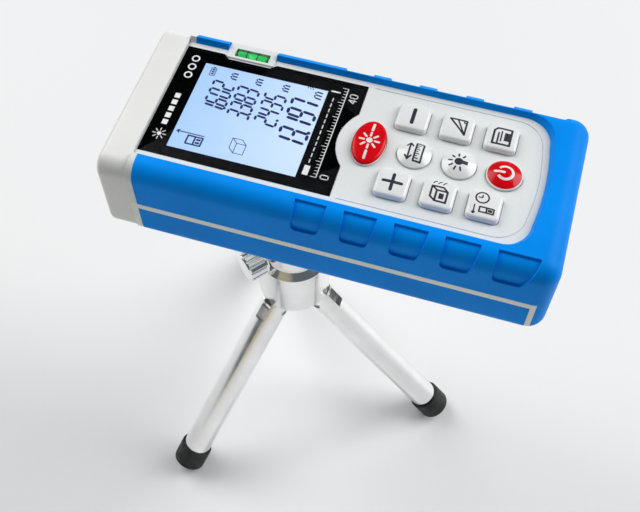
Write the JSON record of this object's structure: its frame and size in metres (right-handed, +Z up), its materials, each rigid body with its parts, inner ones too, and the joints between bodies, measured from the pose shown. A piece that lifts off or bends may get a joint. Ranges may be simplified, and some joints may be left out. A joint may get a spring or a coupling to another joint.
{
  "type": "laser distance meter",
  "caption": "Handheld laser distance meter with display, keypad and spirit level, standing on a folding pocket tripod with a ball head.",
  "frame": {"origin": "on the floor, under the middle of the bounding box (the middle of the meter's length and the keypad's middle line)", "axes": "+Z up, the laser end points along -X, the keypad end along +X, the meter's left side is -Y"},
  "size_m": [0.118, 0.102, 0.1488],
  "materials": {
    "soft_grip": "matt textured soft grip, blue",
    "shell_plastic": "fine satin, light grey",
    "cap_plastic": "fine satin, light grey",
    "key_plastic": "satin, off-white",
    "red_key_plastic": "glossy red",
    "clear_lens": "polished, clear",
    "black_film": "gloss black print",
    "display_glass": "satin, pale blue",
    "light_guide": "milky",
    "circuit_board": "green solder mask",
    "silicone": "matt grey",
    "tinned_steel": "bright",
    "steel": "zinc plated",
    "black_plastic": "moulded black",
    "vial_clear": "polished, clear",
    "vial_green": "clear yellow-green liquid",
    "lens_glass": "polished",
    "filter_glass": "dark tinted",
    "brass": "turned",
    "cell_jacket": "printed jacket, gloss",
    "bright_aluminium": "polished",
    "white_nylon": "natural",
    "black_rubber": "matt"
  },
  "bodies": {
    "tripod_base": {"hub": "bright_aluminium", "ball_socket": "bright_aluminium", "leg_pins": "steel"},
    "ball_carrier": {"ball_seat": "white_nylon"},
    "lock_control": {"lock_knob": "bright_aluminium", "lock_screw": "steel"},
    "door": {"battery_door": "shell_plastic"},
    "measure_key_body": {"measure_key": "red_key_plastic"},
    "clear_key_body": {"clear_key": "red_key_plastic"},
    "unit_key_body": {"unit_key": "key_plastic"},
    "light_key_body": {"light_key": "key_plastic"},
    "plus_key_body": {"plus_key": "key_plastic"},
    "minus_key_body": {"minus_key": "key_plastic"},
    "volume_key_body": {"volume_key": "key_plastic"},
    "triangle_key_body": {"triangle_key": "key_plastic"},
    "reference_key_body": {"reference_key": "key_plastic"},
    "storage_key_body": {"storage_key": "key_plastic"},
    "leg_right": {"leg_tube_right": "bright_aluminium", "leg_fork_right": "bright_aluminium", "leg_foot_right": "black_rubber"},
    "leg_front": {"leg_tube_front": "bright_aluminium", "leg_fork_front": "bright_aluminium", "leg_foot_front": "black_rubber"},
    "leg_rear": {"leg_tube_rear": "bright_aluminium", "leg_fork_rear": "bright_aluminium", "leg_foot_rear": "black_rubber"},
    "meter": {"laser_end_cap": "cap_plastic", "optics_window": "filter_glass", "front_housing": "shell_plastic", "rear_housing": "shell_plastic", "upper_grip": "soft_grip", "lower_grip": "soft_grip", "display_lens": "clear_lens", "lens_mask": "black_film", "lcd_panel": "display_glass", "backlight": "light_guide", "main_board": "circuit_board", "board_screws": "steel", "shield_can": "tinned_steel", "buzzer": "black_plastic", "keypad_mat": "silicone", "vial": "vial_clear", "vial_liquid": "vial_green", "optics_chassis": "black_plastic", "chassis_screws": "steel", "receiver_lens": "lens_glass", "laser_module": "brass", "photodiode": "black_plastic", "sensor_board": "circuit_board", "sensor_ribbon": "black_plastic", "battery_left": "cell_jacket", "battery_right": "cell_jacket", "inner_contacts": "tinned_steel", "outer_contacts": "tinned_steel", "tripod_insert": "brass", "case_screws": "steel", "mount_pad": "black_rubber", "mount_plate": "bright_aluminium", "ball_stud": "bright_aluminium"}
  },
  "joints": [
    {"name": "ball_pan", "type": "hinge", "parent": "tripod_base", "child": "ball_carrier", "pos_m": [-0.016, 0, 0.096], "axis": [0, 0, 1], "continuous": true},
    {"name": "ball_tilt", "type": "hinge", "parent": "ball_carrier", "child": "meter", "pos_m": [-0.016, 0, 0.096], "axis": [0, 1, 0], "range_deg": [-25, 25]},
    {"name": "lock_knob_turn", "type": "hinge", "parent": "tripod_base", "child": "lock_control", "pos_m": [-0.02371, -0.00919, 0.091], "axis": [-0.6428, -0.766, 0], "range_deg": [0, 270]},
    {"name": "leg_right_fold", "type": "hinge", "parent": "tripod_base", "child": "leg_right", "pos_m": [-0.007, 0, 0.0632], "axis": [0, 1, 0], "range_deg": [0, 36.2]},
    {"name": "leg_front_fold", "type": "hinge", "parent": "tripod_base", "child": "leg_front", "pos_m": [-0.0205, -0.00779, 0.0632], "axis": [0.866, -0.5, 0], "range_deg": [0, 36.2]},
    {"name": "leg_rear_fold", "type": "hinge", "parent": "tripod_base", "child": "leg_rear", "pos_m": [-0.0205, 0.00779, 0.0632], "axis": [-0.866, -0.5, 0], "range_deg": [0, 36.2]},
    {"name": "battery_door_hinge", "type": "hinge", "parent": "meter", "child": "door", "pos_m": [0.0013, 0, 0.12152], "axis": [0, 1, 0], "range_deg": [0, 75]},
    {"name": "measure_key_press", "type": "slide", "parent": "meter", "child": "measure_key_body", "axis": [0, 0, -1], "range_m": [0, 0.0008], "stiffness_N_per_m": 1500},
    {"name": "clear_key_press", "type": "slide", "parent": "meter", "child": "clear_key_body", "axis": [0, 0, -1], "range_m": [0, 0.0008], "stiffness_N_per_m": 1500},
    {"name": "unit_key_press", "type": "slide", "parent": "meter", "child": "unit_key_body", "axis": [0, 0, -1], "range_m": [0, 0.0008], "stiffness_N_per_m": 1500},
    {"name": "light_key_press", "type": "slide", "parent": "meter", "child": "light_key_body", "axis": [0, 0, -1], "range_m": [0, 0.0008], "stiffness_N_per_m": 1500},
    {"name": "plus_key_press", "type": "slide", "parent": "meter", "child": "plus_key_body", "axis": [0, 0, -1], "range_m": [0, 0.0008], "stiffness_N_per_m": 1500},
    {"name": "minus_key_press", "type": "slide", "parent": "meter", "child": "minus_key_body", "axis": [0, 0, -1], "range_m": [0, 0.0008], "stiffness_N_per_m": 1500},
    {"name": "volume_key_press", "type": "slide", "parent": "meter", "child": "volume_key_body", "axis": [0, 0, -1], "range_m": [0, 0.0008], "stiffness_N_per_m": 1500},
    {"name": "triangle_key_press", "type": "slide", "parent": "meter", "child": "triangle_key_body", "axis": [0, 0, -1], "range_m": [0, 0.0008], "stiffness_N_per_m": 1500},
    {"name": "reference_key_press", "type": "slide", "parent": "meter", "child": "reference_key_body", "axis": [0, 0, -1], "range_m": [0, 0.0008], "stiffness_N_per_m": 1500},
    {"name": "storage_key_press", "type": "slide", "parent": "meter", "child": "storage_key_body", "axis": [0, 0, -1], "range_m": [0, 0.0008], "stiffness_N_per_m": 1500}
  ]
}
